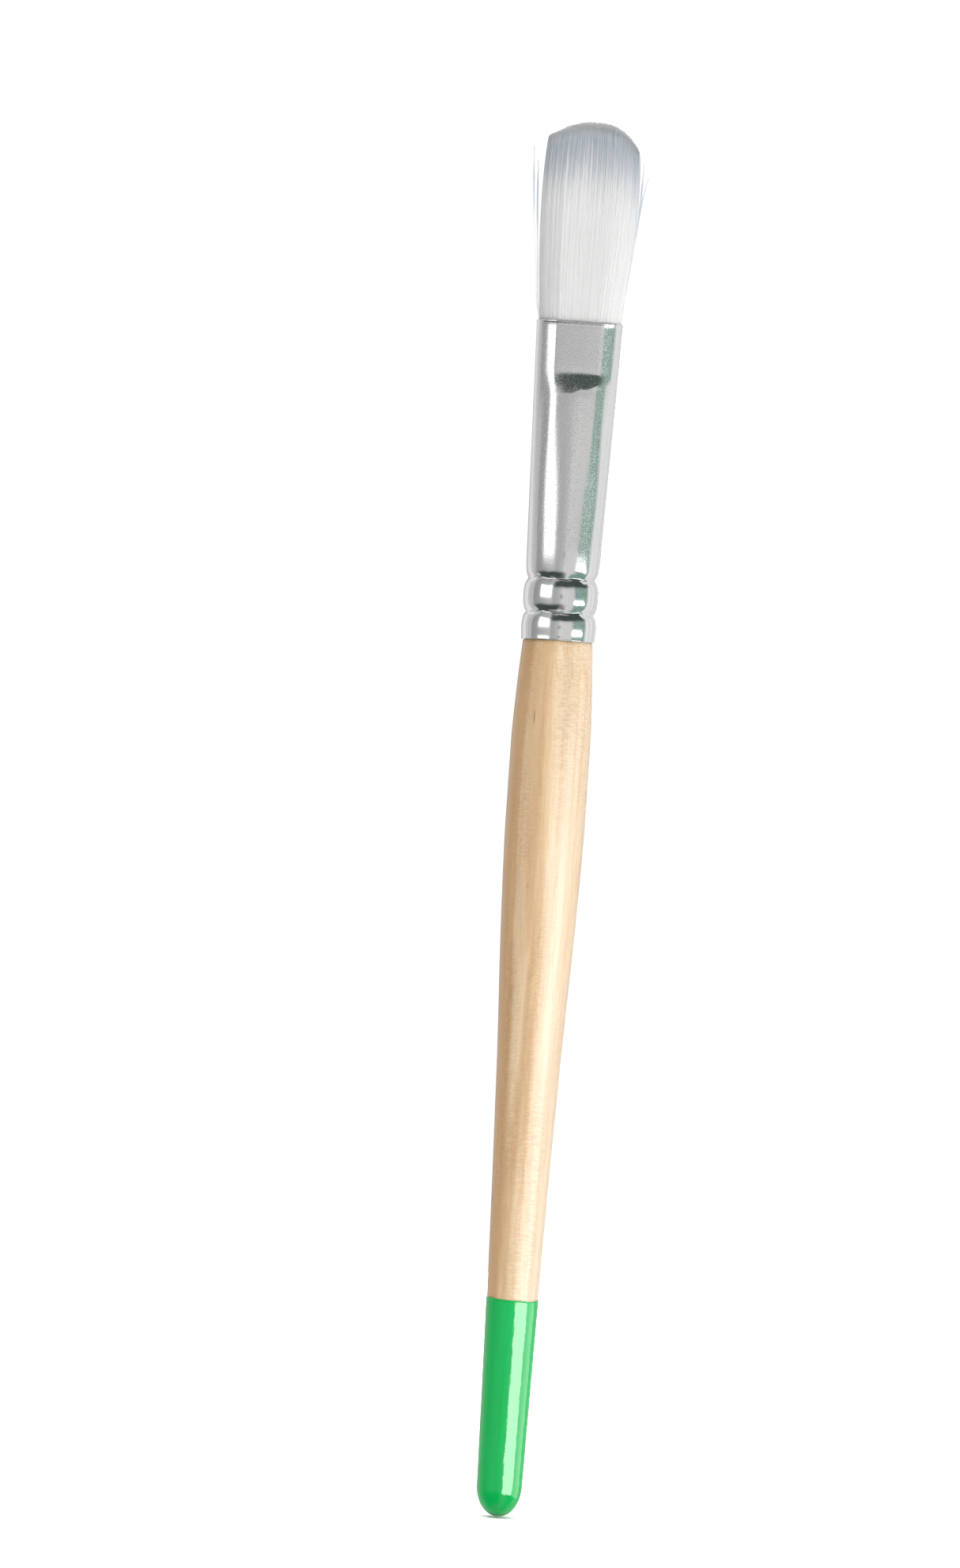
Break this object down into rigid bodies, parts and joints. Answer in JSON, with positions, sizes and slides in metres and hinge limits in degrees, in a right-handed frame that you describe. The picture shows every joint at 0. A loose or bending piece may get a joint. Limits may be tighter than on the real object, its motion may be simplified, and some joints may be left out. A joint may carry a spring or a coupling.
{
  "type": "flat oval brush",
  "caption": "Flat oval brush with soft white synthetic filaments, a crimped aluminium ferrule and a turned birch handle dipped in green at the butt.",
  "frame": {"origin": "centre of the cylindrical land on the belly of the handle, where the fingers hold it", "axes": "+Z along the brush towards the tip of the tuft, X across the width of the flat head, Y through its thickness"},
  "size_m": [0.0148, 0.012, 0.21],
  "materials": {
    "birch": "clear gloss lacquer",
    "green_enamel": "gloss enamel",
    "wood_glue": "dried glue",
    "ferrule_metal": "bright drawn",
    "resin": "cured clear resin",
    "thread": "twisted cotton",
    "filament": "fine synthetic filament with grey-blue tips"
  },
  "bodies": {
    "brush": {"handle": "birch", "colour_dip": "green_enamel", "tenon_adhesive": "wood_glue", "ferrule": "ferrule_metal", "resin_plug": "resin", "root_bundle": "filament", "binding_thread": "thread"},
    "tuft": {"tuft": "filament"}
  },
  "joints": [
    {"name": "tuft_flex", "type": "hinge", "parent": "brush", "child": "tuft", "pos_m": [0, 0, 0.0703], "axis": [1, 0, 0], "range_deg": [-32, 32], "stiffness_Nm_per_rad": 0.02}
  ]
}
